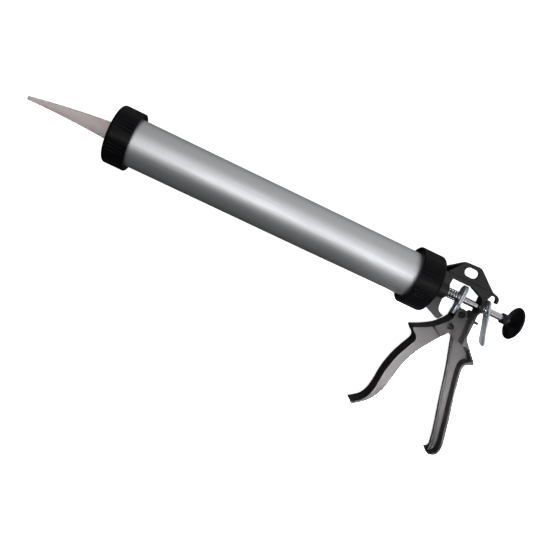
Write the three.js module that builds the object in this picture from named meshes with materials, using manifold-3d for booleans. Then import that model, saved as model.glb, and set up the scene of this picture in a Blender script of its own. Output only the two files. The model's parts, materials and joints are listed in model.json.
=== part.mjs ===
// Caulking gun for 600 ml foil packs, lying on its side.
//
// The gun is drawn in its own axes: the barrel axis is X, pointing back to the
// knob, Y points up from the handle through the barrel, and Z points out of the
// gun's left side.  x = 0 is where the barrel enters the rear cap.  The finished
// gun is then leaned onto its right side, so that the rear cap and the foot of
// the handle rest on the ground plane, with +Z up.

import * as THREE from 'three';
import { mergeVertices } from 'three/addons/utils/BufferGeometryUtils.js';
import Module from 'manifold-3d';

const wasm = await Module();
wasm.setup();

// ---------------------------------------------------------------- dimensions
const GAP = 0.3;                      // clearance between parts that touch

// barrel and caps
const TUBE_OUTER = 27;
const TUBE_INNER = 25.5;
const TUBE_FRONT = -362.4;
const TUBE_REAR = 21;
const CAP_BORE = TUBE_OUTER + 0.4;
const FRONT_CAP = { radius: 33.3, mouth: -343.5, floor: -365.5, face: -368.9, hole: 14 };
const REAR_CAP = { radius: 34.8, mouth: 0, floor: 26, face: 29.2, hole: 8.6 };
const GRIP_GROUPS = 8;                // groups of grip grooves round a cap
const GROOVES_PER_GROUP = 3;
const GROOVE = { width: 1.7, depth: 1.1, pitch: 4.2 };

// nozzle
const NOZZLE_FLANGE = 22;
const NOZZLE_BASE_RADIUS = 10.5;
const NOZZLE_COLLAR = 8.5;
const NOZZLE_TIP = { x: -465.5, radius: 2.1, bore: 1.2 };
const NOZZLE_WALL = 1.5;
const NOZZLE_SAG = 5.2;               // how far its tip hangs below the barrel axis

// rod and piston
const ROD_RADIUS = 4;
const ROD_REAR = 133;
const KNOB_FRONT = 125;
const ROD_SHOULDER = -322;
const ROD_FRONT = -345;
const ROD_END_RADIUS = 3;
const ROD_BORE = ROD_RADIUS + 0.5;    // bore wherever the rod slides
const PISTON_RADIUS = 25.1;

// frame casting
const SPIGOT_RADIUS = 8;
const BOSS = { radius: 10, front: 29.6, back: 48.4 };
const RING_HALF = 5.5;                // half thickness of arm and rear wall
const TAB_HALF = 2.5;                 // hang tab
const WEB_HALF = 1.5;                 // web of the grip
const BEAD_HALF = 2.2;
const PALM_HALF = 14;
const PALM_FOOT_Y = -189;
const PALM_SHOULDER = 18;             // height over which the foot is rounded off
const HANG_HOLE = { x: 66.2, y: 31.8, radius: 5.3, halfRun: 3.8 };
const PIVOT = new THREE.Vector2(70.5, -34.4);
const HUB_RADIUS = 4.8;

// trigger
const TRIGGER_HALF = 11;
const CHEEK_INNER = 7.4;
const LUG_HALF = 10.2;
const NOSE = new THREE.Vector2(75.5, -16.4);
const NOSE_RADIUS = 7.1;
const PIN_RADIUS = 2.5;
const PIN_HALF = 11.8;
const PIN_HOLE = PIN_RADIUS + GAP;
const ROLLER_RADIUS = 4.2;

// drive plates and springs
const PLATE = { half: 7, tailHalf: 5, top: 16, waist: -9, bottom: -20, thickness: 2 };
const PLATE_BACK = 70.9;
const DRIVE_SPRING = { from: 48.7, to: 66.2, radius: 5.6, wire: 0.65, turns: 6.5 };
const RELEASE_SPRING = { from: 97.2, to: 101.8, radius: 5.1, wire: 0.55, turns: 3 };

// release lever
const LEVER_TILT = 20.6 * Math.PI / 180;
const LEVER_AT_ROD = 105.4;
const LEVER = { thickness: 2.2, half: 7.6, foot: 8.6, up: 12.6, down: 43.5 };

// ------------------------------------------------------------------- helpers
function outward(geometry) {
  const p = geometry.attributes.position;
  const index = geometry.index.array;
  const a = new THREE.Vector3();
  const b = new THREE.Vector3();
  const c = new THREE.Vector3();
  let volume = 0;
  for (let i = 0; i < index.length; i += 3) {
    a.fromBufferAttribute(p, index[i]);
    b.fromBufferAttribute(p, index[i + 1]);
    c.fromBufferAttribute(p, index[i + 2]);
    volume += a.dot(b.cross(c));
  }
  if (volume < 0) geometry.index.array.reverse();
  return geometry;
}

// Shared vertices only, no slivers on the axis, faces pointing out.
function bare(geometry) {
  geometry.deleteAttribute('normal');
  geometry.deleteAttribute('uv');
  const merged = mergeVertices(geometry, 1e-4);
  const kept = [];
  const index = merged.index.array;
  for (let i = 0; i < index.length; i += 3) {
    const [a, b, c] = [index[i], index[i + 1], index[i + 2]];
    if (a !== b && b !== c && c !== a) kept.push(a, b, c);
  }
  merged.setIndex(kept);
  return outward(merged);
}

function toSolid(geometry) {
  const shape = bare(geometry);
  const vertProperties = new Float32Array(shape.attributes.position.array);
  const triVerts = new Uint32Array(shape.index.array);
  return new wasm.Manifold(new wasm.Mesh({ numProp: 3, vertProperties, triVerts }));
}

function toGeometry(solid) {
  const mesh = solid.getMesh();
  const geometry = new THREE.BufferGeometry();
  geometry.setAttribute('position', new THREE.BufferAttribute(mesh.vertProperties, 3));
  geometry.setIndex(Array.from(mesh.triVerts));
  return geometry;
}

function join(...geometries) {
  return toGeometry(geometries.map(toSolid).reduce((sum, part) => sum.add(part)));
}

function cut(body, ...tools) {
  return toGeometry(tools.map(toSolid).reduce((rest, tool) => rest.subtract(tool), toSolid(body)));
}

function common(body, tool) {
  return toGeometry(toSolid(body).intersect(toSolid(tool)));
}

const vectors = (points) => points.map(([x, y]) => new THREE.Vector2(x, y));
const polygon = (points) => new THREE.Shape(vectors(points));

// A profile of [x, radius] points turned about the X axis.
function turned(profile, segments = 48) {
  const points = profile.map(([x, radius]) => new THREE.Vector2(radius, x));
  return new THREE.LatheGeometry(points, segments).rotateZ(-Math.PI / 2);
}

// A side outline made into a plate between two z values.
function plate(shape, low, high, curveSegments = 8) {
  const options = { depth: high - low, bevelEnabled: false, curveSegments };
  return new THREE.ExtrudeGeometry(shape, options).translate(0, 0, low);
}

// A round bar along Z, for pins and for the holes they run in.
function crossBar(centre, radius, half, segments = 24) {
  return new THREE.CylinderGeometry(radius, radius, 2 * half, segments)
    .rotateX(Math.PI / 2)
    .translate(centre.x, centre.y, 0);
}

function tube(from, to, outer, inner, segments = 48) {
  return turned([[from, inner], [to, inner], [to, outer], [from, outer], [from, inner]], segments);
}

function rod(from, to, radius, segments = 24) {
  return turned([[from, 0], [from, radius], [to, radius], [to, 0]], segments);
}

class Helix extends THREE.Curve {
  constructor({ from, to, radius, wire, turns }) {
    super();
    Object.assign(this, { from: from + wire, to: to - wire, radius, turns });
  }

  getPoint(t, target = new THREE.Vector3()) {
    const angle = 2 * Math.PI * this.turns * t;
    const x = THREE.MathUtils.lerp(this.from, this.to, t);
    return target.set(x, this.radius * Math.cos(angle), this.radius * Math.sin(angle));
  }
}

function spring(size) {
  const section = new THREE.Shape().absarc(0, 0, size.wire, 0, 2 * Math.PI);
  const options = { extrudePath: new Helix(size), steps: Math.round(size.turns * 14), curveSegments: 3 };
  return new THREE.ExtrudeGeometry(section, options);
}

// -------------------------------------------------------------------- barrel
// Groups of fine grip grooves cut lengthwise into a cap.
function gripGrooves(radius, from, to) {
  const tools = [];
  const pitch = GROOVE.pitch / radius;
  for (let group = 0; group < GRIP_GROUPS; group += 1) {
    for (let n = 0; n < GROOVES_PER_GROUP; n += 1) {
      const angle = 2 * Math.PI * (group + 0.5) / GRIP_GROUPS + (n - (GROOVES_PER_GROUP - 1) / 2) * pitch;
      const bar = new THREE.BoxGeometry(to - from, 2 * GROOVE.depth, GROOVE.width);
      bar.translate((from + to) / 2, radius, 0).rotateX(angle);
      tools.push(bar);
    }
  }
  return tools;
}

function frontCap() {
  const { radius, mouth, floor, face, hole } = FRONT_CAP;
  const body = turned([
    [mouth, CAP_BORE + 1.6], [mouth, radius - 0.8], [mouth - 0.8, radius], [face + 4, radius],
    [face + 1.2, radius - 1.6], [face, radius - 4], [face, hole], [floor, hole], [floor, CAP_BORE],
    [mouth - 2, CAP_BORE], [mouth, CAP_BORE + 1.6],
  ]);
  return cut(body, ...gripGrooves(radius, face + 5, mouth - 2.5));
}

function rearCap() {
  const { radius, mouth, floor, face, hole } = REAR_CAP;
  const body = turned([
    [mouth, CAP_BORE + 1.6], [mouth, radius - 0.8], [mouth + 0.8, radius], [face - 5, radius],
    [face - 1.4, radius - 2.4], [face, radius - 6], [face, hole], [floor, hole], [floor, CAP_BORE],
    [mouth + 2, CAP_BORE], [mouth, CAP_BORE + 1.6],
  ]);
  return cut(body, ...gripGrooves(radius, mouth + 2.5, face - 6));
}

// A hollow cone with a seating flange and a collar, bent down a little towards its tip.
function nozzle() {
  const back = TUBE_FRONT - GAP;
  const front = back - 2.4;
  const collar = front - NOZZLE_COLLAR;
  const { x: tip, radius: tipRadius, bore } = NOZZLE_TIP;
  const steps = 6;
  const along = Array.from({ length: steps }, (_, n) => n / (steps - 1));
  const taper = (from, to) => along.map((t) => [
    THREE.MathUtils.lerp(collar - 0.4, tip, t), THREE.MathUtils.lerp(from, to, t),
  ]);
  const cone = turned([
    [back, NOZZLE_FLANGE], [front, NOZZLE_FLANGE], [front, NOZZLE_BASE_RADIUS + 1],
    [collar, NOZZLE_BASE_RADIUS + 0.6], ...taper(NOZZLE_BASE_RADIUS - 0.4, tipRadius),
    ...taper(NOZZLE_BASE_RADIUS - NOZZLE_WALL, bore).reverse(), [back, NOZZLE_BASE_RADIUS],
    [back, NOZZLE_FLANGE],
  ], 32);
  const p = cone.attributes.position;
  for (let i = 0; i < p.count; i += 1) {
    const reach = Math.max(0, (front - p.getX(i)) / (front - tip));
    p.setY(i, p.getY(i) - NOZZLE_SAG * reach * reach);
  }
  return bare(cone);
}

// ------------------------------------------------------------ rod and piston
function pushRod() {
  return turned([
    [ROD_FRONT, 0], [ROD_FRONT, ROD_END_RADIUS - 0.6], [ROD_FRONT + 0.8, ROD_END_RADIUS],
    [ROD_SHOULDER, ROD_END_RADIUS], [ROD_SHOULDER, ROD_RADIUS], [ROD_REAR, ROD_RADIUS], [ROD_REAR, 0],
  ], 24);
}

function knob() {
  const bore = ROD_RADIUS + GAP;
  const bottom = ROD_REAR + GAP;
  return turned([
    [KNOB_FRONT, bore], [KNOB_FRONT, 5.8], [KNOB_FRONT + 0.7, 6.3], [131.6, 6.3], [133.6, 8.4],
    [136, 12.9], [138.2, 17.4], [139.8, 19.5], [141.5, 20.4], [143.2, 19.8], [144.8, 17.2],
    [146.1, 12.4], [146.9, 6.5], [147.2, 0], [bottom, 0], [bottom, bore], [KNOB_FRONT, bore],
  ], 40);
}

// Parts stacked on the thin front end of the rod, from the shoulder forwards.
const BACKPLATE = { back: ROD_SHOULDER - GAP, front: ROD_SHOULDER - 2.6, radius: 22 };
const PISTON = { back: BACKPLATE.front - GAP, front: BACKPLATE.front - 11.5 };
const PISTON_WASHER = { back: PISTON.front - GAP, front: PISTON.front - 1.8, radius: 9 };
const PISTON_NUT = { back: PISTON_WASHER.front - GAP, front: PISTON_WASHER.front - 5.2, radius: 5.8 };
const STACK_BORE = ROD_END_RADIUS + GAP;

function piston() {
  const skirt = 3.2;
  const web = PISTON.front + 3.5;
  return turned([
    [PISTON.front, STACK_BORE], [PISTON.front, PISTON_RADIUS - 2.5], [PISTON.front + 2, PISTON_RADIUS],
    [PISTON.back, PISTON_RADIUS], [PISTON.back, PISTON_RADIUS - skirt], [web, PISTON_RADIUS - skirt - 1],
    [web, 10], [PISTON.back, 10], [PISTON.back, STACK_BORE], [PISTON.front, STACK_BORE],
  ]);
}

function hexNut(from, to, cornerRadius, bore) {
  const body = turned([[from, 0], [from, cornerRadius], [to, cornerRadius], [to, 0]], 6);
  return cut(body, rod(from - 1, to + 1, bore));
}

// --------------------------------------------------------------------- frame
function hangTabOutline() {
  const shape = new THREE.Shape();
  shape.moveTo(29.8, 17.3);
  shape.lineTo(29.8, 22.9);
  shape.lineTo(51, 38.8);
  shape.quadraticCurveTo(53.7, 41, 57.5, 41.3);
  shape.lineTo(70.8, 42);
  shape.quadraticCurveTo(74.3, 42.1, 77.2, 39.9);
  shape.lineTo(99.4, 23.3);
  shape.quadraticCurveTo(101.9, 21.9, 105.8, 21.3);
  shape.quadraticCurveTo(111.8, 20, 112, 13.4);
  shape.lineTo(110.6, 11.4);
  shape.lineTo(108.4, 12);
  shape.quadraticCurveTo(109, 18.5, 104.2, 18.8);
  shape.quadraticCurveTo(99, 18.9, 96.3, 12.1);
  shape.lineTo(94, 5.2);
  shape.lineTo(88.6, 10.6);
  shape.lineTo(72.8, 17.3);
  const hole = new THREE.Path();
  const { x, y, radius, halfRun } = HANG_HOLE;
  hole.absarc(x - halfRun, y, radius, Math.PI / 2, 1.5 * Math.PI);
  hole.absarc(x + halfRun, y, radius, -Math.PI / 2, Math.PI / 2);
  shape.holes.push(hole);
  return shape;
}

// Top arm of the window, running down to the boss that guides the rod.
function ringOutline() {
  return polygon([
    [30.2, 17.5], [73.3, 17.5], [89.1, 11], [93.6, 5.5], [93.6, -5], [90.4, -9], [90.4, -14],
    [93, -14], [96.9, -7], [97, 12.5], [99.5, 19], [99.6, 21.9], [30.2, 21.9],
  ]);
}

// Front wall of the window, with the horn that stops the trigger at rest.
function hornOutline() {
  const shape = new THREE.Shape();
  shape.moveTo(35.8, -3.8);
  shape.lineTo(34.2, -23.4);
  shape.quadraticCurveTo(34.4, -25.6, 36.4, -26.4);
  shape.lineTo(52.8, -33.2);
  shape.quadraticCurveTo(54.6, -33.8, 55.8, -32.2);
  shape.lineTo(59.4, -27);
  shape.quadraticCurveTo(50.1, -25.1, 49.5, -18.7);
  shape.lineTo(47.7, -3.8);
  return shape;
}

const PALM_REAR = [
  [106.6, -75], [109.2, -86.8], [115.7, -111.3], [123.5, -137.8], [128.8, -157.5], [131.6, -168.4],
  [132, -176],
];
const PALM_INNER = [
  [128.9, -176.5], [128.2, -168.6], [125.4, -158.2], [120.4, -138.6], [112.9, -112.1],
  [106.3, -87.4], [103.6, -74],
];
const HANDLE_FRONT = [[123, -182], [117.2, -158.2], [105.3, -120.4], [94.8, -85.5], [80.6, -45.2]];

// The palm wall: down behind the trigger, out round the spur and along the grip.
function palmOutline() {
  const shape = new THREE.Shape();
  shape.moveTo(88.2, -12);
  shape.lineTo(91.6, -8);
  shape.lineTo(92.3, -22);
  shape.lineTo(93.1, -35.6);
  shape.quadraticCurveTo(93.3, -38.6, 95.2, -40.8);
  shape.lineTo(115.9, -61.4);
  shape.quadraticCurveTo(118, -64.6, 114.4, -65.4);
  shape.quadraticCurveTo(105.8, -67.2, 106.6, -75);
  shape.splineThru(vectors(PALM_REAR.slice(1)));
  shape.quadraticCurveTo(131.6, -187.6, 123, PALM_FOOT_Y);
  shape.lineTo(121.4, PALM_FOOT_Y + 3);
  shape.quadraticCurveTo(128.4, -185, 128.9, -176.5);
  shape.splineThru(vectors(PALM_INNER.slice(1)));
  shape.quadraticCurveTo(102.6, -65.4, 111.4, -62);
  shape.lineTo(105.8, -54.8);
  shape.lineTo(99.4, -49.6);
  shape.lineTo(94.4, -48.2);
  shape.lineTo(91.2, -47.8);
  shape.lineTo(90.3, -34);
  shape.lineTo(88.9, -24);
  return shape;
}

function handleWebOutline() {
  const shape = new THREE.Shape();
  shape.moveTo(PIVOT.x - 3.4, PIVOT.y + 3.4);
  shape.lineTo(PIVOT.x - 3.4, PIVOT.y - 3.4);
  shape.lineTo(80.6, -45.2);
  shape.splineThru(vectors(HANDLE_FRONT.slice(0, -1).reverse()));
  shape.lineTo(122, -187);
  shape.quadraticCurveTo(129.6, -186, 130.4, -176.4);
  shape.splineThru(vectors([[129.8, -168.5], [127, -158], [122, -138.2], [114.3, -111.8], [107.8, -87.1]]));
  shape.quadraticCurveTo(102.8, -68.4, 112.8, -63.4);
  shape.lineTo(107, -55);
  shape.lineTo(92.6, -44);
  shape.lineTo(90.4, -20);
  shape.lineTo(90, -12);
  shape.quadraticCurveTo(88, -20, 82, -22);
  return shape;
}

// A thin raised bead along the front edge of the grip.
function beadOutline() {
  const shape = new THREE.Shape();
  shape.moveTo(78.6, -41.6);
  shape.lineTo(80.6, -45.2);
  shape.splineThru(vectors(HANDLE_FRONT.slice(0, -1).reverse()));
  shape.lineTo(124.8, -181.6);
  shape.splineThru(vectors([[119, -157.7], [107.1, -119.9], [96.6, -84.9], [82.5, -44.5]]));
  shape.lineTo(80.5, -40.7);
  return shape;
}

// The foot of the palm wall, seen from behind, is rounded off.
function palmEnvelope() {
  const shape = new THREE.Shape();
  const shoulder = PALM_FOOT_Y + PALM_SHOULDER;
  shape.moveTo(PALM_HALF, 0);
  shape.lineTo(-PALM_HALF, 0);
  shape.lineTo(-PALM_HALF, shoulder);
  shape.quadraticCurveTo(-PALM_HALF, PALM_FOOT_Y, -4, PALM_FOOT_Y);
  shape.lineTo(4, PALM_FOOT_Y);
  shape.quadraticCurveTo(PALM_HALF, PALM_FOOT_Y, PALM_HALF, shoulder);
  return new THREE.ExtrudeGeometry(shape, { depth: 80, bevelEnabled: false, curveSegments: 5 })
    .rotateY(Math.PI / 2)
    .translate(80, 0, 0);
}

function frame() {
  const casting = join(
    plate(hangTabOutline(), -TAB_HALF, TAB_HALF, 5),
    plate(ringOutline(), -RING_HALF, RING_HALF),
    plate(polygon([[35.8, -3.8], [47.7, -3.8], [47.7, 19.5], [35.8, 19.5]]), -RING_HALF, RING_HALF),
    plate(hornOutline(), -3, 3, 5),
    plate(handleWebOutline(), -WEB_HALF, WEB_HALF, 5),
    plate(beadOutline(), -BEAD_HALF, BEAD_HALF, 4),
    common(plate(palmOutline(), -PALM_HALF, PALM_HALF, 4), palmEnvelope()),
    crossBar(PIVOT, HUB_RADIUS, CHEEK_INNER - GAP),
    rod(BOSS.front, BOSS.back, BOSS.radius, 36),
    rod(13, BOSS.front + 1, SPIGOT_RADIUS, 36),
    rod(92.2, 96.9, 8, 36),
    rod(90.4, 103.2, 1.8, 12).translate(0, -18.9, 0),
  );
  return cut(casting, rod(0, 120, ROD_BORE), crossBar(PIVOT, PIN_HOLE, 20));
}

// ------------------------------------------------------------------- trigger
const TRIGGER_REAR = [
  [59.1, -59.7], [47.4, -78.9], [40.2, -98.4], [36.6, -119.3], [32.9, -137.5], [24.9, -153.1],
  [14, -163.6], [7.2, -168.4],
];
const TRIGGER_FRONT = [
  [10.1, -162.7], [17.4, -156.1], [21.6, -146.5], [23.4, -134.7], [24.7, -114], [29.9, -91.6],
  [39.3, -69],
];

function triggerOutline() {
  const shape = new THREE.Shape();
  shape.moveTo(NOSE.x - NOSE_RADIUS, NOSE.y);
  shape.absarc(NOSE.x, NOSE.y, NOSE_RADIUS, Math.PI, 0, true);
  shape.lineTo(82, -28.9);
  shape.quadraticCurveTo(81.7, -42.9, 68.9, -42.7);
  shape.lineTo(65.2, -51);
  shape.splineThru(vectors(TRIGGER_REAR));
  shape.lineTo(3.8, -166.6);
  shape.splineThru(vectors(TRIGGER_FRONT));
  shape.quadraticCurveTo(41.6, -62.8, 35.2, -58.9);
  shape.quadraticCurveTo(30.7, -55.9, 29.9, -53.3);
  shape.splineThru(vectors([[43.6, -46.9], [55.4, -39.2], [63.9, -30.4], [68.3, -24]]));
  return shape;
}

// The channel behind the finger wall.  It opens to the rear, and at the nose it
// opens forwards too, so that the drive plates can hang in front of the roller.
function triggerChannel() {
  const shape = new THREE.Shape();
  shape.moveTo(24.8, -149);
  shape.splineThru(vectors([[26.6, -134.7], [28.1, -114.4], [33.3, -92.6], [43.2, -69.8]]));
  shape.quadraticCurveTo(44.7, -61.8, 39.7, -55.3);
  shape.splineThru(vectors([[45.3, -49.7], [57.3, -40.9], [65.8, -32.1], [70.6, -25.4]]));
  shape.lineTo(66.9, -23);
  shape.lineTo(58, -23);
  shape.lineTo(58, -4);
  shape.lineTo(92.7, -4);
  shape.lineTo(92.6, -48.8);
  shape.lineTo(69.8, -60.8);
  shape.lineTo(56, -82.7);
  shape.lineTo(45.2, -119.3);
  shape.lineTo(40.3, -140.1);
  shape.lineTo(31.4, -155.9);
  return plate(shape, -CHEEK_INNER, CHEEK_INNER, 5);
}

// The cheeks are stepped in round the two pins.
function lugSteps() {
  const shape = () => polygon([[50, -42.2], [65.2, -51], [89.6, -56.8], [89.7, -5], [60, -5], [42.1, -33]]);
  return [plate(shape(), LUG_HALF, LUG_HALF + 3), plate(shape(), -LUG_HALF - 3, -LUG_HALF)];
}

function trigger() {
  return cut(
    plate(triggerOutline(), -TRIGGER_HALF, TRIGGER_HALF, 5),
    triggerChannel(),
    ...lugSteps(),
    crossBar(PIVOT, PIN_HOLE, 20),
    crossBar(NOSE, PIN_HOLE, 20),
  );
}

// A star-lock cap pressed on the end of a pin, flush with its end.
function retainer(centre, side) {
  const inner = LUG_HALF + GAP;
  const outer = PIN_HALF + 0.3;
  const bore = PIN_RADIUS + GAP;
  const ring = tube(inner, outer, 4.1, bore, 24);
  return ring.rotateY(-side * Math.PI / 2).translate(centre.x, centre.y, 0);
}

// --------------------------------------------------------- drive and release
function drivePlate(back) {
  const { half, tailHalf, top, waist, bottom, thickness } = PLATE;
  const shape = new THREE.Shape();
  shape.moveTo(-tailHalf, bottom + 3);
  shape.quadraticCurveTo(-tailHalf, bottom, 0, bottom);
  shape.quadraticCurveTo(tailHalf, bottom, tailHalf, bottom + 3);
  shape.lineTo(tailHalf, waist);
  shape.lineTo(half, waist + 2.5);
  shape.lineTo(half, top - half);
  shape.absarc(0, top - half, half, 0, Math.PI);
  shape.lineTo(-half, waist + 2.5);
  shape.lineTo(-tailHalf, waist);
  const hole = new THREE.Path().absarc(0, 0, ROD_BORE, 0, 2 * Math.PI, true);
  shape.holes.push(hole);
  const options = { depth: thickness, bevelEnabled: false, curveSegments: 10 };
  return new THREE.ExtrudeGeometry(shape, options)
    .rotateY(-Math.PI / 2)
    .translate(back, 0, 0);
}

function leverOutline() {
  const { half, foot, up, down } = LEVER;
  const shape = new THREE.Shape();
  shape.moveTo(-half + 2, up);
  shape.lineTo(-half, up - 2);
  shape.lineTo(-half, -down + 22);
  shape.quadraticCurveTo(-foot, -down + 14, -foot, -down + 8);
  shape.quadraticCurveTo(-foot + 1, -down, 0, -down);
  shape.quadraticCurveTo(foot - 1, -down, foot, -down + 8);
  shape.quadraticCurveTo(foot, -down + 14, half, -down + 22);
  shape.lineTo(half, up - 2);
  shape.lineTo(half - 2, up);
  const hole = new THREE.Path();
  const radius = ROD_RADIUS + 0.6;
  const run = 1.1;
  hole.absarc(0, run, radius, 0, Math.PI);
  hole.absarc(0, -run, radius, Math.PI, 2 * Math.PI);
  shape.holes.push(hole);
  return shape;
}

// A flat steel bar through which the rod passes, leaning back at the bottom.
function releaseLever() {
  const options = { depth: LEVER.thickness, bevelEnabled: false, curveSegments: 6 };
  return new THREE.ExtrudeGeometry(leverOutline(), options)
    .translate(0, 0, -LEVER.thickness / 2)
    .rotateY(-Math.PI / 2)
    .rotateZ(LEVER_TILT)
    .translate(LEVER_AT_ROD, 0, 0);
}

// ------------------------------------------------------------------ assembly
const FINISH = {
  blackPaint: { color: 0x1b1b1e, roughness: 0.38, metalness: 0.1 },
  blackPlastic: { color: 0x17171b, roughness: 0.5, metalness: 0 },
  glossPlastic: { color: 0x0f0f12, roughness: 0.2, metalness: 0 },
  nozzlePlastic: { color: 0xd8ccc8, roughness: 0.4, metalness: 0 },
  whitePlastic: { color: 0xdedcd4, roughness: 0.45, metalness: 0 },
  anodised: { color: 0xb4b8ba, roughness: 0.42, metalness: 0.9 },
  chrome: { color: 0xd2d4d6, roughness: 0.15, metalness: 1 },
  zinc: { color: 0xa3abb2, roughness: 0.35, metalness: 0.9 },
};

function named(name, geometry, finish) {
  const mesh = new THREE.Mesh(bare(geometry), new THREE.MeshStandardMaterial(FINISH[finish]));
  mesh.geometry.computeVertexNormals();
  mesh.name = name;
  return mesh;
}

const frontPlateBack = PLATE_BACK - PLATE.thickness - GAP;
const gun = new THREE.Group();
gun.add(
  named('barrel_tube', tube(TUBE_FRONT, TUBE_REAR, TUBE_OUTER, TUBE_INNER), 'anodised'),
  named('rear_cap', rearCap(), 'blackPlastic'),
  named('front_cap', frontCap(), 'blackPlastic'),
  named('nozzle', nozzle(), 'nozzlePlastic'),
  named('frame', frame(), 'blackPaint'),
  named('spigot_washer', tube(23.2, REAR_CAP.floor - GAP, 16, SPIGOT_RADIUS + GAP, 36), 'zinc'),
  named('spigot_nut', hexNut(15.4, 23.2 - GAP, 14, SPIGOT_RADIUS + GAP), 'zinc'),
  named('trigger', trigger(), 'blackPaint'),
  named('trigger_pivot_pin', crossBar(PIVOT, PIN_RADIUS, PIN_HALF), 'zinc'),
  named('pusher_pin', crossBar(NOSE, PIN_RADIUS, PIN_HALF), 'zinc'),
  named('pusher_roller', cut(
    crossBar(NOSE, ROLLER_RADIUS, CHEEK_INNER - GAP), crossBar(NOSE, PIN_HOLE, 10)), 'zinc'),
  named('pivot_retainer_left', retainer(PIVOT, 1), 'blackPaint'),
  named('pivot_retainer_right', retainer(PIVOT, -1), 'blackPaint'),
  named('pusher_retainer_left', retainer(NOSE, 1), 'blackPaint'),
  named('pusher_retainer_right', retainer(NOSE, -1), 'blackPaint'),
  named('drive_plate_rear', drivePlate(PLATE_BACK), 'zinc'),
  named('drive_plate_front', drivePlate(frontPlateBack), 'zinc'),
  named('drive_spring', spring(DRIVE_SPRING), 'chrome'),
  named('release_spring', spring(RELEASE_SPRING), 'chrome'),
  named('release_lever', releaseLever(), 'zinc'),
  named('rod', pushRod(), 'chrome'),
  named('rod_knob', knob(), 'glossPlastic'),
  named('piston_backplate', tube(BACKPLATE.front, BACKPLATE.back, BACKPLATE.radius, STACK_BORE), 'zinc'),
  named('piston', piston(), 'whitePlastic'),
  named('piston_washer', tube(
    PISTON_WASHER.front, PISTON_WASHER.back, PISTON_WASHER.radius, STACK_BORE, 24), 'zinc'),
  named('piston_nut', hexNut(PISTON_NUT.front, PISTON_NUT.back, PISTON_NUT.radius, STACK_BORE), 'zinc'),
);

// Lean the gun about the barrel until the foot of the handle is level with the
// underside of the rear cap, then stand it on the ground plane, centred.
const footDepth = -(PALM_FOOT_Y + PALM_SHOULDER);
const reach = Math.hypot(footDepth, PALM_HALF);
gun.rotation.x = Math.asin(REAR_CAP.radius / reach) - Math.atan(PALM_HALF / footDepth);
gun.updateMatrixWorld(true);
const box = new THREE.Box3().setFromObject(gun, true);
const centre = box.getCenter(new THREE.Vector3());
gun.position.set(-centre.x, -centre.y, -box.min.z);

const caulkingGun = new THREE.Group();
caulkingGun.add(gun);
caulkingGun.updateMatrixWorld(true);

export default caulkingGun;
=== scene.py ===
"""A caulking gun for foil packs, lying on its side: the finished surfaces around the CAD parts.

Pieces are drawn in the gun's own axes, in millimetres: X runs along the barrel back to the knob,
Y points from the handle up through the barrel, Z out of the gun's left side, and x = 0 is the
mouth of the rear cap. The matrix GUN takes them to the row frame, in metres.
"""
import json
import math

import bmesh
import bpy
from mathutils import Matrix, Vector


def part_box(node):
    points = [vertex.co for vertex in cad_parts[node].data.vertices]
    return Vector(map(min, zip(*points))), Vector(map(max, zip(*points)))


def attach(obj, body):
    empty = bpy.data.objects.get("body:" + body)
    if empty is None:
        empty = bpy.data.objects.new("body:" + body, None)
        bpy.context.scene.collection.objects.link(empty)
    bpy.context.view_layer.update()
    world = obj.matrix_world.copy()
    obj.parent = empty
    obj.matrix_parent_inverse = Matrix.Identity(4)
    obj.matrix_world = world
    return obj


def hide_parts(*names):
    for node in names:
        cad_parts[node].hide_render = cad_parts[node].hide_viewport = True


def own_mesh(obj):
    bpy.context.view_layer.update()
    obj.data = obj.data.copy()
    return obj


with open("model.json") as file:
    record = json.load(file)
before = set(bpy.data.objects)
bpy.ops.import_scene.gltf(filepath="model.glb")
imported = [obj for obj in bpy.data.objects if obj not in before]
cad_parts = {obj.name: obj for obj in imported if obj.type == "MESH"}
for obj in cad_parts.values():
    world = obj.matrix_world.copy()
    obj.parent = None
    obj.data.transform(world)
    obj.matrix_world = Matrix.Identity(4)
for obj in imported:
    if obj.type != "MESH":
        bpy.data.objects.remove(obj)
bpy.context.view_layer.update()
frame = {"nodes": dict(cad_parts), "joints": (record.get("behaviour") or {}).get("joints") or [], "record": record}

# ------------------------------------------------------------------ the gun's own axes
MM = 0.001
TAU = 2 * math.pi
joint_axis = {joint["name"]: Vector(joint["axis"]) for joint in frame["joints"]}
tube_low, tube_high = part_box("barrel_tube")
barrel_centre = (tube_low + tube_high) / 2
LEAN = math.asin(-joint_axis["trigger_pivot"].y)   # it lies on its rear cap and its handle's foot
GUN = (
    Matrix.Translation((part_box("rear_cap")[0].x, barrel_centre.y, barrel_centre.z))
    @ Matrix.Rotation(LEAN, 4, "X")
    @ Matrix.Scale(MM, 4)
)


def span(node):
    """A CAD node's lowest and highest corner in the gun's own axes, in millimetres."""
    into_gun = GUN.inverted()
    points = [into_gun @ v.co for v in frame["nodes"][node].data.vertices]
    low = Vector([min(p[k] for p in points) for k in range(3)])
    high = Vector([max(p[k] for p in points) for k in range(3)])
    return low, high


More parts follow.
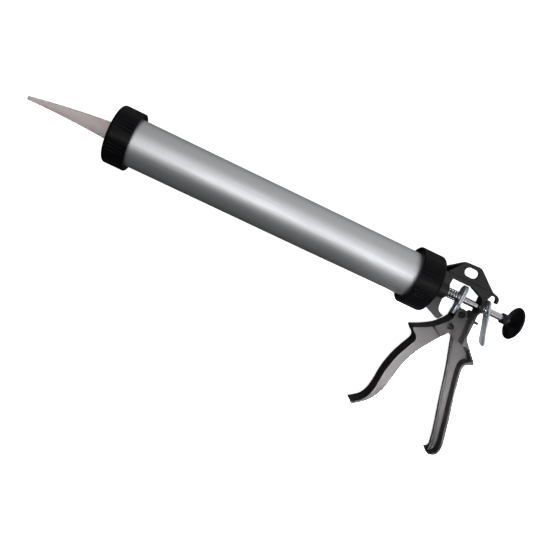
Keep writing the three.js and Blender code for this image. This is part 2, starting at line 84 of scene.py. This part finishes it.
# ------------------------------------------------------------------ materials
class Finish:
    """A Principled material and the few node recipes that its grain is made from."""

    def __init__(self, name, colour, roughness, metallic=0.0, **settings):
        self.material = bpy.data.materials.new(name)
        self.material.use_nodes = True
        self.nodes = self.material.node_tree.nodes
        self.links = self.material.node_tree.links
        self.shader = next(n for n in self.nodes if n.type == "BSDF_PRINCIPLED")
        self.coordinates = self.nodes.new("ShaderNodeTexCoord")
        self.colour = colour
        self.shader.inputs["Base Color"].default_value = (*colour, 1)
        self.shader.inputs["Roughness"].default_value = roughness
        self.shader.inputs["Metallic"].default_value = metallic
        for socket, value in settings.items():
            self.shader.inputs[socket.replace("_", " ")].default_value = value

    def noise(self, scale, stretch=(1, 1, 1), detail=4.0, roughness=0.5):
        """Noise of about `scale` cells to the metre, times `stretch` along each axis."""
        mapping = self.nodes.new("ShaderNodeMapping")
        mapping.inputs["Scale"].default_value = stretch
        self.links.new(self.coordinates.outputs["Object"], mapping.inputs["Vector"])
        texture = self.nodes.new("ShaderNodeTexNoise")
        texture.inputs["Scale"].default_value = scale
        texture.inputs["Detail"].default_value = detail
        texture.inputs["Roughness"].default_value = roughness
        self.links.new(mapping.outputs["Vector"], texture.inputs["Vector"])
        return texture.outputs["Fac"]

    def spread(self, source, low, high, start=0.3, end=0.7):
        """Maps a noise value between start and end to low and high."""
        node = self.nodes.new("ShaderNodeMapRange")
        node.inputs["From Min"].default_value = start
        node.inputs["From Max"].default_value = end
        node.inputs["To Min"].default_value = low
        node.inputs["To Max"].default_value = high
        self.links.new(source, node.inputs["Value"])
        return node.outputs["Result"]

    def add(self, first, second):
        node = self.nodes.new("ShaderNodeMath")
        node.operation = "ADD"
        self.links.new(first, node.inputs[0])
        self.links.new(second, node.inputs[1])
        return node.outputs["Value"]

    def rough(self, *sources):
        """Drives roughness by the sum of the sources."""
        total = sources[0]
        for source in sources[1:]:
            total = self.add(total, source)
        self.links.new(total, self.shader.inputs["Roughness"])
        return self

    def tint(self, source, other):
        """Drifts the base colour towards another one where the source is high."""
        mix = self.nodes.new("ShaderNodeMix")
        mix.data_type = "RGBA"
        mix.inputs["A"].default_value = (*self.colour, 1)
        mix.inputs["B"].default_value = (*other, 1)
        self.links.new(source, mix.inputs["Factor"])
        self.links.new(mix.outputs["Result"], self.shader.inputs["Base Color"])
        return self

    def bump(self, source, height, strength=1.0):
        """Relief of this height, in metres, on top of any bump already there."""
        node = self.nodes.new("ShaderNodeBump")
        node.inputs["Distance"].default_value = height
        node.inputs["Strength"].default_value = strength
        self.links.new(source, node.inputs["Height"])
        normal = self.shader.inputs["Normal"]
        if normal.links:
            self.links.new(normal.links[0].from_socket, node.inputs["Normal"])
        self.links.new(node.outputs["Normal"], normal)
        return self

    def edge_wear_and_sheen(self, colour, amount):
        """Convex edges drift towards another colour: partly rubbed wear, partly a painted highlight along the
        edges.
        """
        geometry = self.nodes.new("ShaderNodeNewGeometry")
        edge = self.spread(geometry.outputs["Pointiness"], 0, amount, start=0.52, end=0.62)
        return self.tint(edge, colour)


def anodised_aluminium():
    finish = Finish("anodised_aluminium", (0.66, 0.672, 0.69), 0.44, 1.0)
    drawn = finish.noise(900, (0.02, 1, 1), 6)
    smudge = finish.noise(14, detail=3)
    finish.rough(finish.spread(drawn, 0.46, 0.54), finish.spread(smudge, -0.02, 0.03))
    finish.tint(finish.spread(drawn, 0, 0.35), (0.58, 0.592, 0.61))
    return finish.bump(drawn, 0.000012, 0.5).material


def black_plastic():
    finish = Finish("black_plastic", (0.003, 0.003, 0.0042), 0.34, IOR=1.2)
    grain = finish.noise(2600, detail=3)
    flow = finish.noise(60, detail=2)
    finish.rough(finish.spread(grain, 0.29, 0.38), finish.spread(flow, -0.03, 0.03))
    return finish.bump(grain, 0.00002, 0.35).material


def nozzle_plastic():
    # The emission is painted light: a faint glow that stands in for light scattered inside the milky plastic.
    finish = Finish(
        "nozzle_plastic", (0.78, 0.73, 0.725), 0.3,
        Transmission_Weight=0.5, Subsurface_Weight=0.3, Subsurface_Scale=0.004,
        Emission_Color=(1.0, 0.95, 0.945, 1), Emission_Strength=0.045,
    )
    milk = finish.noise(45, (0.3, 1, 1), 3)
    flow = finish.noise(500, (0.1, 1, 1), 3)
    finish.tint(finish.spread(milk, 0, 0.8), (0.66, 0.61, 0.605))
    finish.rough(finish.spread(flow, 0.14, 0.22))
    return finish.bump(flow, 0.00003, 0.4).material


def black_paint():
    finish = Finish("black_paint", (0.014, 0.0127, 0.0133), 0.34, IOR=1.32)
    peel = finish.noise(650, detail=2)
    speck = finish.noise(3200, detail=2)
    cloud = finish.noise(35, detail=3)
    finish.rough(finish.spread(cloud, 0.32, 0.40), finish.spread(speck, -0.03, 0.04))
    # lighter convex edges: some rubbed wear and a painted edge highlight
    finish.edge_wear_and_sheen((0.026, 0.024, 0.024), 0.6)
    finish.bump(peel, 0.00003, 0.4)
    return finish.bump(speck, 0.00001, 0.4).material


def blackened_steel():
    finish = Finish("blackened_steel", (0.0012, 0.0012, 0.0015), 0.3, IOR=1.2)
    oxide = finish.noise(700, detail=4)
    finish.rough(finish.spread(oxide, 0.30, 0.46))
    finish.tint(finish.spread(oxide, 0, 0.6), (0.003, 0.0028, 0.0026))
    return finish.bump(oxide, 0.00001, 0.5).material


def zinc_steel():
    finish = Finish("zinc_steel", (0.46, 0.50, 0.54), 0.36, 0.4)
    spangle = finish.noise(260, detail=5)
    rolled = finish.noise(1500, (1, 0.05, 1), 3)
    finish.rough(finish.spread(spangle, 0.30, 0.44), finish.spread(rolled, -0.02, 0.03))
    finish.tint(finish.spread(spangle, 0, 0.8), (0.36, 0.395, 0.43))
    return finish.bump(rolled, 0.000012, 0.5).material


def spring_steel():
    finish = Finish("spring_steel", (0.46, 0.47, 0.50), 0.2, 1.0)
    drawn = finish.noise(2500, detail=3)
    finish.rough(finish.spread(drawn, 0.15, 0.28))
    return finish.bump(drawn, 0.000006, 0.4).material


def chrome_steel():
    finish = Finish("chrome_steel", (0.70, 0.71, 0.74), 0.13, 1.0)
    drawn = finish.noise(2200, (0.02, 1, 1), 4)
    finish.rough(finish.spread(drawn, 0.09, 0.18))
    return finish.bump(drawn, 0.000002, 0.2).material


def gloss_plastic():
    finish = Finish("gloss_plastic", (0.004, 0.003, 0.0048), 0.2, IOR=1.4)
    flow = finish.noise(90, detail=2)
    scuff = finish.noise(1800, detail=5)
    finish.rough(finish.spread(flow, 0.2, 0.27), finish.spread(scuff, -0.02, 0.04))
    return finish.bump(flow, 0.00004, 0.3).material


def white_plastic():
    finish = Finish(
        "white_plastic", (0.74, 0.73, 0.69), 0.42,
        Subsurface_Weight=0.15, Subsurface_Scale=0.002,
    )
    grain = finish.noise(1600, detail=3)
    finish.rough(finish.spread(grain, 0.36, 0.48))
    return finish.bump(grain, 0.00002, 0.4).material


FINISHES = {
    recipe.__name__: recipe()
    for recipe in (
        anodised_aluminium, black_plastic, nozzle_plastic, black_paint, blackened_steel,
        zinc_steel, spring_steel, chrome_steel, gloss_plastic, white_plastic,
    )
}
SLOT_OF = {part["node"]: part["material_slot"] for part in frame["record"]["subparts"]}
BODY_OF = {
    node: body
    for body, nodes in frame["record"]["behaviour"]["bodies"].items()
    for node in nodes
}


# ------------------------------------------------------------------ piece helpers
def shown(name, mesh, body, slot, *stands_for):
    """Puts a finished mesh into the scene, riding on its body."""
    for polygon in mesh.polygons:
        polygon.use_smooth = True
    piece = bpy.data.objects.new(name, mesh)
    bpy.context.scene.collection.objects.link(piece)
    mesh.materials.clear()
    mesh.materials.append(FINISHES[slot])
    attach(piece, body)
    if stands_for:
        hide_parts(*stands_for)
    return piece


def from_gun(bm, name):
    """The row-frame mesh of a shape drawn in the gun's own axes."""
    bmesh.ops.recalc_face_normals(bm, faces=bm.faces)
    bm.transform(GUN)
    mesh = bpy.data.meshes.new(name)
    bm.to_mesh(mesh)
    bm.free()
    return mesh


WELD = 5e-6                # metres: vertices closer than this become one
SHARP = math.radians(32)   # edges that turn by more than this are rounded
FLAT = math.radians(0.6)   # faces that turn by less than this are merged
WIDE = 2.5                 # bevel widths across a face that may keep its own normal
LEANING = 0.95             # cosine to the mean normal of its corner, below which it does
BROAD = 1.5e-4             # square metres: a face above this area always does


def shade(mesh, wide):
    """Sets each corner's normal to the mean round its vertex, in which large faces count most.

    A face above this area that leans away from the mean keeps its own normal.
    """
    sums = [Vector() for _ in mesh.vertices]
    for polygon in mesh.polygons:
        for vertex in polygon.vertices:
            sums[vertex] += polygon.normal * polygon.area ** 1.5
    normals = []
    for polygon in mesh.polygons:
        for vertex in polygon.vertices:
            mean = sums[vertex].normalized()
            leans = polygon.area > wide and mean.dot(polygon.normal) < LEANING
            own = leans or polygon.area > BROAD or mean.length == 0
            normals.append(polygon.normal if own else mean)
    mesh.normals_split_custom_set(normals)


def soften(piece, width):
    """Rounds every sharp edge by a width in millimetres.

    The flat faces keep their own normals, so that only the rounded edges between them shade
    smoothly.
    """
    bevel = piece.modifiers.new("soft_edges", "BEVEL")
    bevel.width = width * MM
    bevel.segments = 3
    bevel.limit_method = "ANGLE"
    bevel.angle_limit = SHARP
    bevel.miter_outer = "MITER_ARC"
    bevel.use_clamp_overlap = False
    evaluated = piece.evaluated_get(bpy.context.evaluated_depsgraph_get())
    rounded = bpy.data.meshes.new_from_object(evaluated)
    piece.modifiers.clear()
    bm = bmesh.new()
    bm.from_mesh(rounded)
    bmesh.ops.remove_doubles(bm, verts=bm.verts, dist=WELD)
    bmesh.ops.dissolve_degenerate(bm, dist=WELD, edges=bm.edges)
    bm.to_mesh(rounded)
    bm.free()
    shade(rounded, (WIDE * width * MM) ** 2)
    piece.data = rounded


def polished(node, name, width):
    """A CAD solid with its flat faces merged and its edges rounded."""
    bm = bmesh.new()
    bm.from_mesh(frame["nodes"][node].data)
    bmesh.ops.remove_doubles(bm, verts=bm.verts, dist=1e-6)
    bmesh.ops.dissolve_limit(bm, angle_limit=FLAT, verts=bm.verts, edges=bm.edges)
    mesh = bpy.data.meshes.new(name)
    bm.to_mesh(mesh)
    bm.free()
    soften(shown(name, mesh, BODY_OF[node], SLOT_OF[node], node), width)


def skin(bm, rings, closed=True):
    """Joins each ring of vertices to the next and, if closed, the last to the first."""
    count = len(rings[0])
    for here, there in zip(rings, rings[1:] + (rings[:1] if closed else [])):
        for n in range(count):
            m = (n + 1) % count
            bm.faces.new((here[n], here[m], there[m], there[n]))


def lathe(profile, segments, relief=None):
    """A closed loop of (x, radius) points turned about the gun's X axis.

    relief(angle, n) is taken off the radius of profile point n at that angle.
    """
    bm = bmesh.new()
    rings = []
    for step in range(segments):
        angle = TAU * step / segments
        ring = []
        for n, (x, radius) in enumerate(profile):
            r = radius - (relief(angle, n) if relief else 0)
            ring.append(bm.verts.new((x, r * math.cos(angle), r * math.sin(angle))))
        rings.append(ring)
    skin(bm, rings)
    bmesh.ops.remove_doubles(bm, verts=bm.verts, dist=1e-4)
    bmesh.ops.dissolve_degenerate(bm, edges=bm.edges, dist=1e-5)
    return bm


def swept(points, radius, sides=14):
    """A round wire through the points, with closed ends."""
    bm = bmesh.new()
    rings = []
    for n, point in enumerate(points):
        ahead = (points[min(n + 1, len(points) - 1)] - points[max(n - 1, 0)]).normalized()
        side = (side - ahead * side.dot(ahead) if rings else ahead.orthogonal()).normalized()
        other = ahead.cross(side)
        ring = []
        for k in range(sides):
            turn = TAU * k / sides
            out = side * math.cos(turn) + other * math.sin(turn)
            ring.append(bm.verts.new(point + radius * out))
        rings.append(ring)
    skin(bm, rings, closed=False)
    bm.faces.new(list(reversed(rings[0])))
    bm.faces.new(rings[-1])
    return bm


# ------------------------------------------------------------------ barrel
TUBE_WALL = 1.5


def barrel_tube():
    low, high = span("barrel_tube")
    outer = high.y
    inner = outer - TUBE_WALL
    bm = lathe([(low.x, inner), (high.x, inner), (high.x, outer), (low.x, outer)], 192)
    tube = shown("barrel", from_gun(bm, "barrel"), "barrel", "anodised_aluminium", "barrel_tube")
    soften(tube, 0.35)


GROUPS = 8                 # groups of grip grooves round a cap, as in the CAD part
GROOVES_PER_GROUP = 3
GROOVE_PITCH = 4.2
GROOVE_HALF = 1.05
GROOVE_DEPTH = 1.1
GROOVE_SQUARENESS = 1.6    # above 1, a groove has a flat floor
GROOVE_START = ((2.2, 0), (2.6, 0.35), (3.0, 0.8), (3.5, 1))   # from the mouth, share of the depth
GROOVE_END = ((5.6, 1), (5.0, 0.8), (4.5, 0.35), (4.1, 0))     # from the face, share of the depth
CAP_CLEARANCE = 0.4        # between the tube and a cap's bore
LIP = 1.2                  # radius of the rounded edge at a cap's mouth
SHOULDER = 3.4             # and of the one round its face


def groove(angle, radius):
    """Depth of the grip grooves, 0 to 1, at this angle round a cap."""
    turn = angle / TAU * GROUPS
    off = (turn - math.floor(turn) - 0.5) * TAU / GROUPS * radius
    deepest = 0.0
    for n in range(GROOVES_PER_GROUP):
        distance = abs(off - (n - (GROOVES_PER_GROUP - 1) / 2) * GROOVE_PITCH) / GROOVE_HALF
        if distance < 1:
            deepest = max(deepest, min(1.0, GROOVE_SQUARENESS * (1 - distance * distance)))
    return deepest


def cap(node, name, mouth, face, hole, bottom):
    """A ribbed screw cap with a lead-in inside its mouth and a shallow recess round its hole."""
    low, high = span(node)
    radius = (high.z - low.z) / 2
    bore = span("barrel_tube")[1].y + CAP_CLEARANCE
    depth = abs(face - mouth)
    way = math.copysign(1, face - mouth)
    rows = [(2.2, bore, 0), (0.6, bore + 1.1, 0), (0.15, bore + 2.1, 0)]
    for a in range(0, 91, 15):
        turn = math.radians(a)
        rows.append((LIP - LIP * math.cos(turn), radius - LIP + LIP * math.sin(turn), 0))
    rows += [(distance, radius, share) for distance, share in GROOVE_START]
    rows += [(depth - distance, radius, share) for distance, share in GROOVE_END]
    for a in range(0, 91, 10):
        turn = math.radians(a)
        rows.append((
            depth - SHOULDER + SHOULDER * math.sin(turn),
            radius - SHOULDER + SHOULDER * math.cos(turn),
            0,
        ))
    rows += [(depth, hole + 5, 0), (depth - 0.5, hole + 4.4, 0), (depth - 0.5, hole + 0.6, 0)]
    inside = abs(bottom - mouth)
    rows += [(depth - 0.9, hole, 0), (inside, hole, 0), (inside, bore, 0)]
    profile = [(mouth + way * distance, r) for distance, r, _ in rows]

    def relief(angle, n):
        share = rows[n][2]
        return GROOVE_DEPTH * share * groove(angle, radius) if share else 0

    bm = lathe(profile, 960, relief)
    shown(name, from_gun(bm, name), BODY_OF[node], "black_plastic", node)


def caps():
    """The front cap, round the nozzle, and the rear one, round the spigot."""
    nozzle_hole, front_gap = 14, 3.1
    spigot_hole, rear_gap = 8.6, 5
    front_low, front_high = span("front_cap")
    rear_low, rear_high = span("rear_cap")
    tube_front, tube_back = (end.x for end in span("barrel_tube"))
    front_bottom, rear_bottom = tube_front - front_gap, tube_back + rear_gap
    cap("front_cap", "front_screw_cap", front_high.x, front_low.x, nozzle_hole, front_bottom)
    cap("rear_cap", "rear_screw_cap", rear_low.x, rear_high.x, spigot_hole, rear_bottom)


# ------------------------------------------------------------------ nozzle
def nozzle():
    """A milky cone with a seating flange, a collar and six broad facets, bent down to its tip."""
    low, high = span("nozzle")
    back, flange, tip = high.x, high.y, low.x
    front = back - 2.4                 # front face of the flange
    collar = front - 8.5               # front end of the collar
    start = collar - 0.4               # where the cone starts
    root, cone_root, wall = 10.5, 10.1, 1.5
    tip_radius, tip_bore = 2.1, 1.2
    sag = 5.2
    facets, facet_depth, deepest_ring, fade_rings = 6, 0.16, 6, 8
    profile = [
        (back, flange), (front + 0.3, flange), (front, flange - 0.3), (front, root + 1.3),
        (front - 0.4, root + 0.9), (collar + 0.5, root + 0.6), (collar + 0.1, root + 0.4),
        (collar - 0.3, root - 0.3),
    ]
    plain = len(profile)
    rings = 32
    for n in range(1, rings + 1):
        t = n / rings
        profile.append((start - (start - tip) * t, cone_root - (cone_root - tip_radius) * t))
    for n in range(rings + 1):
        t = 1 - n / rings
        profile.append((start - (start - tip) * t, root - wall - (root - wall - tip_bore) * t))
    profile.append((back, root))

    def relief(angle, n):
        """The facets, deepest near the root, on the outside and the inside alike."""
        ring = min(n - plain, 2 * rings + 1 - (n - plain))
        if ring < 0:
            return 0
        strength = max(0.0, 1 - abs(ring - deepest_ring) / fade_rings)
        return facet_depth * strength * (0.5 - 0.5 * math.cos(facets * angle))

    bm = lathe(profile, 192, relief)
    for v in bm.verts:
        reach = max(0.0, (front - v.co.x) / (front - tip))
        v.co.y -= sag * reach * reach
    shown("nozzle_cone", from_gun(bm, "nozzle_cone"), "nozzle", "nozzle_plastic", "nozzle")


# ------------------------------------------------------------------ springs
CLOSED = 0.9               # turns of a spring's wire that close up at each end
CLOSED_RISE = 0.35         # how far they rise, in wire radii
STEPS_PER_TURN = 36


def helix(name, node, wire, turns):
    """A coil spring of this wire radius between the ends of its CAD solid, with closed end coils.
    """
    low, high = span(node)
    radius = (high.y - low.y) / 2 - wire
    start = low.x + wire
    length = high.x - wire - start
    rise = CLOSED_RISE * wire
    count = int(turns * STEPS_PER_TURN)
    points = []
    for n in range(count + 1):
        turn = turns * n / count
        if turn < CLOSED:
            along = rise * turn / CLOSED
        elif turn > turns - CLOSED:
            along = length - rise * (turns - turn) / CLOSED
        else:
            along = rise + (turn - CLOSED) / (turns - 2 * CLOSED) * (length - 2 * rise)
        angle = TAU * turn
        points.append(Vector((start + along, radius * math.cos(angle), radius * math.sin(angle))))
    coil = shown(name, from_gun(swept(points, wire), name), BODY_OF[node], "spring_steel", node)
    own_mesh(coil)


# ------------------------------------------------------------------ rod and knob
def rod():
    """The push rod, with a thinner stud at its front end that carries the piston."""
    low, high = span("rod")
    radius = high.y
    stud, shoulder = 3, -322           # the stud's radius, and where the full rod starts
    bm = lathe([
        (low.x, 0.0), (low.x, stud - 0.6), (low.x + 0.8, stud), (shoulder, stud),
        (shoulder, radius), (high.x, radius), (high.x, 0.0),
    ], 64)
    soften(shown("push_rod", from_gun(bm, "push_rod"), "rod", "chrome_steel", "rod"), 0.3)


def knob():
    """A push knob: a fluted collar that flares into a domed disc."""
    low, high = span("rod_knob")
    rim, end = high.y, high.x
    bore = span("rod")[1].y + 0.3
    seat = span("rod")[1].x + 0.3
    collar, neck = 6.3, 6.5            # radii of the collar and of the flare's start
    collar_end = low.x + 6.6
    dome = 5.7
    flute_count, flute_depth = 20, 0.45
    fluted_points = (3, 4)
    flare_steps, dome_steps = 14, 23
    profile = [
        (low.x, bore), (low.x, collar - 0.7), (low.x + 0.5, collar), (low.x + 1.2, collar),
        (collar_end - 1, collar), (collar_end, neck),
    ]
    flare = end - dome - collar_end
    for n in range(1, flare_steps + 1):
        t = n / flare_steps
        swell = (1 - math.cos(t * math.pi / 2)) ** 0.82
        profile.append((collar_end + flare * t, neck + (rim - neck) * swell))
    for n in range(1, dome_steps):
        t = n / dome_steps * math.pi / 2
        profile.append((end - dome + dome * math.sin(t), rim * math.cos(t) ** 0.8))
    profile += [(end, 0.0), (seat, 0.0), (seat, bore)]

    def relief(angle, n):
        return flute_depth * max(0.0, math.cos(flute_count * angle)) if n in fluted_points else 0

    bm = lathe(profile, 320, relief)
    shown("push_knob", from_gun(bm, "push_knob"), "rod", "gloss_plastic", "rod_knob")


# ------------------------------------------------------------------ pins and caps on them
def star_lock(node, name):
    """A pressed star-lock cap: a domed rim round a dished ring with six notches."""
    low, high = span(node)
    centre = (low + high) / 2
    side = math.copysign(1, centre.z)
    inner, outer = (low.z, high.z) if side > 0 else (high.z, low.z)
    depth = abs(outer - inner)
    rim = (high.y - low.y) / 2
    bore = 2.62
    notches, notch_depth, notch_reach = 6, 0.45, 0.5
    segments = 96
    profile = [
        (0, rim), (depth * 0.55, rim), (depth * 0.9, rim - 0.25), (depth, rim - 0.65),
        (depth * 0.93, rim - 1.0), (depth * 0.62, bore + 0.12), (depth * 0.5, bore),
        (depth * 0.3, bore), (0.1, rim - 0.9), (0, rim - 0.6),
    ]
    bm = bmesh.new()
    rings = []
    for step in range(segments):
        angle = TAU * step / segments
        notch = max(0.0, math.cos(notches * angle)) ** 8 * notch_depth
        ring = []
        for height, radius in profile:
            r = radius + notch * max(0.0, 1 - (radius - bore) / notch_reach)
            x, y = centre.x + r * math.cos(angle), centre.y + r * math.sin(angle)
            ring.append(bm.verts.new((x, y, inner + side * height)))
        rings.append(ring)
    skin(bm, rings)
    shown(name, from_gun(bm, name), BODY_OF[node], "blackened_steel", node)


def cross_pin(node, name):
    """A round pin across the gun, with well-rounded ends."""
    low, high = span(node)
    radius = (high.y - low.y) / 2
    bm = bmesh.new()
    bmesh.ops.create_cone(
        bm, cap_ends=True, segments=64, radius1=radius, radius2=radius, depth=high.z - low.z,
        matrix=Matrix.Translation((low + high) / 2),
    )
    soften(shown(name, from_gun(bm, name), BODY_OF[node], "blackened_steel", node), 0.9)


def painted_shadow_line(name, node, path, height, radius):
    """A painted shadow: a dark wire along a step of a casting, at this height on either side of the gun, where the
    step casts shade.
    """
    bm = bmesh.new()
    for z in (height, -height):
        line = swept([Vector((x, y, z)) for x, y in path], radius, 8)
        mesh = bpy.data.meshes.new("line")
        line.to_mesh(mesh)
        line.free()
        bm.from_mesh(mesh)
        bpy.data.meshes.remove(mesh)
    shown(name, from_gun(bm, name), BODY_OF[node], "black_plastic")


# ------------------------------------------------------------------ build
# paths of the painted shadow lines along steps of the trigger and the handle
TRIGGER_LUG_STEP = [(51.4, -42.6), (64.7, -50.0), (69.8, -42.4)]
HANDLE_BEAD = [(83.3, -46.0), (97.2, -85.0), (107.7, -120.0), (119.6, -157.7), (124.4, -178.0)]

barrel_tube()
caps()
nozzle()
polished("frame", "frame_casting", 0.5)
polished("trigger", "trigger_casting", 0.6)
# painted shadows: dark wires along the trigger lug's step and the handle's bead
painted_shadow_line("lug_step_painted_shadow", "trigger", TRIGGER_LUG_STEP, height=10.7, radius=0.8)
painted_shadow_line("bead_painted_shadow", "frame", HANDLE_BEAD, height=1.6, radius=0.6)
helix("drive_coil", "drive_spring", wire=0.65, turns=6.5)
helix("release_coil", "release_spring", wire=0.55, turns=3)
rod()
knob()
for pin in ("pivot", "pusher"):
    for side in ("left", "right"):
        star_lock(f"{pin}_retainer_{side}", f"{pin}_star_lock_{side}")
cross_pin("trigger_pivot_pin", "pivot_pin")
cross_pin("pusher_pin", "nose_pin")
for node, name, width in (
    ("drive_plate_rear", "drive_blade_rear", 0.25),
    ("drive_plate_front", "drive_blade_front", 0.25),
    ("release_lever", "thumb_lever", 0.35),
    ("pusher_roller", "nose_roller", 0.3),
    ("spigot_washer", "barrel_washer", 0.25),
    ("spigot_nut", "barrel_nut", 0.4),
    ("piston_backplate", "plunger_plate", 0.3),
    ("piston", "plunger", 0.5),
    ("piston_washer", "plunger_washer", 0.25),
    ("piston_nut", "plunger_nut", 0.3),
):
    polished(node, name, width)

# ------------------------------------------------------------------ floor, lights and camera
EYE = Vector((-211.0, 25.0, 637.2))            # the camera's place, in the gun's own axes
AIM = Vector((-140.239, -68.476, 0.0))         # the point that it looks at
ROLL = math.radians(24.808)                    # from the gun's X axis to the picture's right
FOCAL_PIXELS = 560.0
IMAGE_WIDTH = 551
SENSOR = 36.0
LIGHTS = (
    # name, place and aim in millimetres, size in metres, watts, spread in degrees
    ("strip", (-170, -45, 1000), (-170, -45, 0), (0.94, 0.2), 2.8, 180),  # along the tube
    ("rod_strip", (500, -20, 1000), (500, -20, 0), (0.4, 0.05), 0.7, 180),  # in line with the rod
    ("fill", (-170, 420, 900), (-170, 0, 0), (0.94, 0.6), 1.9, 180),  # the tube's upper side
    ("snoot", (-150, 20, 560), (104, -30, 0), (0.03, 0.03), 0.0075, 3),  # the release lever
    ("softbox", (420, -300, 700), (420, -300, 0), (0.5, 0.3), 0.4, 180),  # beyond the handle
    ("grid_box", (56, -114, 700), (56, -114, 0), (0.24, 0.12), 0.7, 11),  # handle and trigger
)
FLOOR_HALF = 6.0           # metres
FLOOR_GAP = 0.0005         # metres between the floor and the gun
FLOOR_GLOW = 0.85


def camera():
    data = bpy.data.cameras.new("camera")
    data.sensor_fit = "HORIZONTAL"
    data.sensor_width = SENSOR
    data.lens = FOCAL_PIXELS / IMAGE_WIDTH * SENSOR
    data.clip_start = 0.01
    back = (EYE - AIM).normalized()
    level = (Vector((1, 0, 0)) - back * back.x).normalized()
    right = Matrix.Rotation(ROLL, 3, back) @ level
    axes = Matrix((right, back.cross(right), back)).transposed()
    eye = bpy.data.objects.new("camera", data)
    turn = (GUN.to_3x3().normalized() @ axes).to_4x4()
    eye.matrix_world = Matrix.Translation(GUN @ EYE) @ turn
    bpy.context.scene.collection.objects.link(eye)
    bpy.context.scene.camera = eye


def area_light(name, place, aim, size, power, spread):
    """A rectangular lamp that points from its place to its aim, both in the gun's own axes."""
    at, towards = GUN @ Vector(place), GUN @ Vector(aim)
    data = bpy.data.lights.new(name, "AREA")
    data.shape = "RECTANGLE"
    data.size, data.size_y = size
    data.energy = power
    data.spread = math.radians(spread)
    lamp = bpy.data.objects.new(name, data)
    lamp.location = at
    lamp.rotation_euler = (towards - at).to_track_quat("-Z", "Y").to_euler()
    bpy.context.scene.collection.objects.link(lamp)


def floor():
    """A pale floor that glows a little, seen by the camera but by no gloss or bounced light."""
    mesh = bpy.data.meshes.new("floor")
    half = FLOOR_HALF
    corners = [(-half, -half, 0), (half, -half, 0), (half, half, 0), (-half, half, 0)]
    mesh.from_pydata(corners, [], [(0, 1, 2, 3)])
    plane = bpy.data.objects.new("floor", mesh)
    plane.location.z = -FLOOR_GAP
    plane.visible_glossy = False
    plane.visible_diffuse = False
    bpy.context.scene.collection.objects.link(plane)
    finish = Finish("floor", (0.9, 0.9, 0.9), 0.8)
    finish.shader.inputs["Specular IOR Level"].default_value = 0
    finish.shader.inputs["Emission Color"].default_value = (1, 1, 1, 1)
    finish.shader.inputs["Emission Strength"].default_value = FLOOR_GLOW
    mesh.materials.append(finish.material)


def surroundings():
    """Dim studio walls: paler on the hang tab's side, dark below and in front of the nozzle."""
    world = bpy.data.worlds.new("studio")
    bpy.context.scene.world = world
    world.use_nodes = True
    nodes, links = world.node_tree.nodes, world.node_tree.links
    background = next(n for n in nodes if n.type == "BACKGROUND")
    coordinates = nodes.new("ShaderNodeTexCoord")

    def slope(direction, start, end, low, high):
        """Runs smoothly from low to high as the view turns towards the direction."""
        toward = nodes.new("ShaderNodeVectorMath")
        toward.operation = "DOT_PRODUCT"
        toward.inputs[1].default_value = direction
        links.new(coordinates.outputs["Generated"], toward.inputs[0])
        ramp = nodes.new("ShaderNodeMapRange")
        ramp.interpolation_type = "SMOOTHSTEP"
        ramp.inputs["From Min"].default_value = start
        ramp.inputs["From Max"].default_value = end
        ramp.inputs["To Min"].default_value = low
        ramp.inputs["To Max"].default_value = high
        links.new(toward.outputs["Value"], ramp.inputs["Value"])
        return ramp.outputs["Result"]

    def times(first, second):
        product = nodes.new("ShaderNodeMath")
        product.operation = "MULTIPLY"
        links.new(first, product.inputs[0])
        links.new(second, product.inputs[1])
        return product.outputs["Value"]

    side = slope((0, 1, 0), -0.5, 0.9, 0.11, 0.55)
    ahead = slope((-1, 0, 0), 0.1, 0.6, 1.0, 0.15)
    below = slope((0, 0, 1), -0.9, -0.2, 0.15, 1.0)
    links.new(times(times(side, ahead), below), background.inputs["Strength"])
    background.inputs["Color"].default_value = (1, 1, 1, 1)


camera()
floor()
surroundings()
for light in LIGHTS:
    area_light(*light)
bpy.context.scene.view_settings.view_transform = "Standard"
